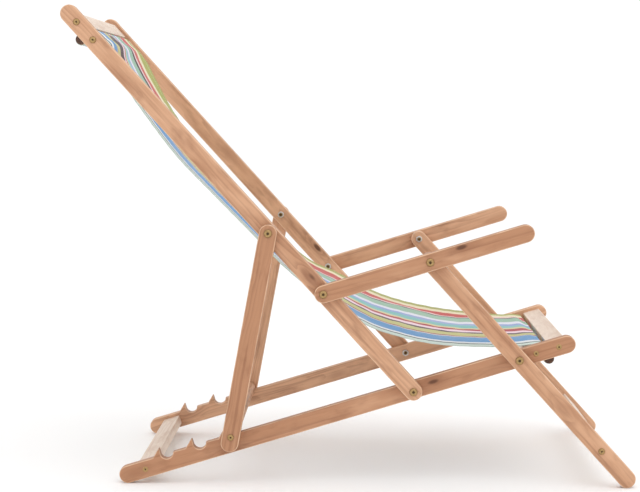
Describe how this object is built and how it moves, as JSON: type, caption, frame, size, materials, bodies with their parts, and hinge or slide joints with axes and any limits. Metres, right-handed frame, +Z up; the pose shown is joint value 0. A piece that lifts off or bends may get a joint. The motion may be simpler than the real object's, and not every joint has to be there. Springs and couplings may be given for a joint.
{
  "type": "folding sling beach chair",
  "caption": "Folding wooden sling chair with armrests: back rails, front legs and armrests turn together on the base rails, and a swinging prop sets the recline.",
  "frame": {"origin": "on the floor, under the middle of the chair's length and width as it stands", "axes": "+X the way the chair faces, +Y to the sitter's left, +Z up"},
  "size_m": [1.1324, 0.6, 0.9515],
  "materials": {
    "rail_wood": "oiled light brown hardwood, straight grain",
    "crossbar_wood": "paler oiled hardwood, straight grain",
    "sling_fabric": "woven cotton canvas with lengthwise stripes in blue, red, yellow-green, mint and white",
    "brassed_steel": "brassed steel, satin",
    "zinc_steel": "zinc-plated steel"
  },
  "bodies": {
    "base_frame": {"base_rail_left": "rail_wood", "base_rail_right": "rail_wood", "rear_crossbar": "crossbar_wood", "front_crossbar": "crossbar_wood", "front_tension_bar": "crossbar_wood", "front_hem_rod": "crossbar_wood", "sling_seat": "sling_fabric", "base_crossbar_screws": "brassed_steel", "back_pivot_bolts": "brassed_steel", "back_pivot_nuts": "zinc_steel", "back_pivot_washers": "zinc_steel", "leg_pivot_bolts": "brassed_steel", "leg_pivot_nuts": "zinc_steel", "leg_pivot_washers": "zinc_steel"},
    "back_frame": {"back_rail_left": "rail_wood", "back_rail_right": "rail_wood", "top_crossbar": "crossbar_wood", "top_tension_bar": "crossbar_wood", "top_hem_rod": "crossbar_wood", "sling_back": "sling_fabric", "top_crossbar_screws": "brassed_steel", "armrest_pivot_bolts": "brassed_steel", "armrest_pivot_nuts": "zinc_steel", "armrest_pivot_washers": "zinc_steel", "prop_pivot_bolts": "brassed_steel", "prop_pivot_nuts": "zinc_steel", "prop_pivot_washers": "zinc_steel"},
    "front_legs": {"front_leg_left": "rail_wood", "front_leg_right": "rail_wood", "leg_crossbar": "crossbar_wood", "leg_crossbar_screws": "brassed_steel", "armrest_front_bolts": "brassed_steel", "armrest_front_nuts": "zinc_steel", "armrest_front_washers": "zinc_steel"},
    "prop_frame": {"prop_leg_left": "rail_wood", "prop_leg_right": "rail_wood", "prop_crossbar": "crossbar_wood", "prop_crossbar_screws": "brassed_steel"},
    "armrest_left_body": {"armrest_left": "rail_wood"},
    "armrest_right_body": {"armrest_right": "rail_wood"}
  },
  "joints": [
    {"name": "recline", "type": "hinge", "parent": "base_frame", "child": "back_frame", "pos_m": [0.12514, 0, 0.19113], "axis": [0, -1, 0], "range_deg": [0, 55]},
    {"name": "leg_fold", "type": "hinge", "parent": "base_frame", "child": "front_legs", "pos_m": [0.33371, 0, 0.25453], "axis": [0, -1, 0], "range_deg": [0, 55]},
    {"name": "armrest_left_tilt", "type": "hinge", "parent": "back_frame", "child": "armrest_left_body", "pos_m": [-0.05289, 0, 0.38742], "axis": [0, -1, 0], "range_deg": [-55, 0]},
    {"name": "armrest_right_tilt", "type": "hinge", "parent": "back_frame", "child": "armrest_right_body", "pos_m": [-0.05289, 0, 0.38742], "axis": [0, -1, 0], "range_deg": [-55, 0]},
    {"name": "prop_swing", "type": "hinge", "parent": "back_frame", "child": "prop_frame", "pos_m": [-0.16106, 0, 0.50667], "axis": [0, 1, 0], "range_deg": [0, 120]}
  ],
  "couplings": [
    {"joint": "leg_fold", "follows": "recline", "ratio": 1},
    {"joint": "armrest_left_tilt", "follows": "recline", "ratio": -1},
    {"joint": "armrest_right_tilt", "follows": "recline", "ratio": -1},
    {"joint": "prop_swing", "follows": "recline", "ratio": 2.18}
  ]
}
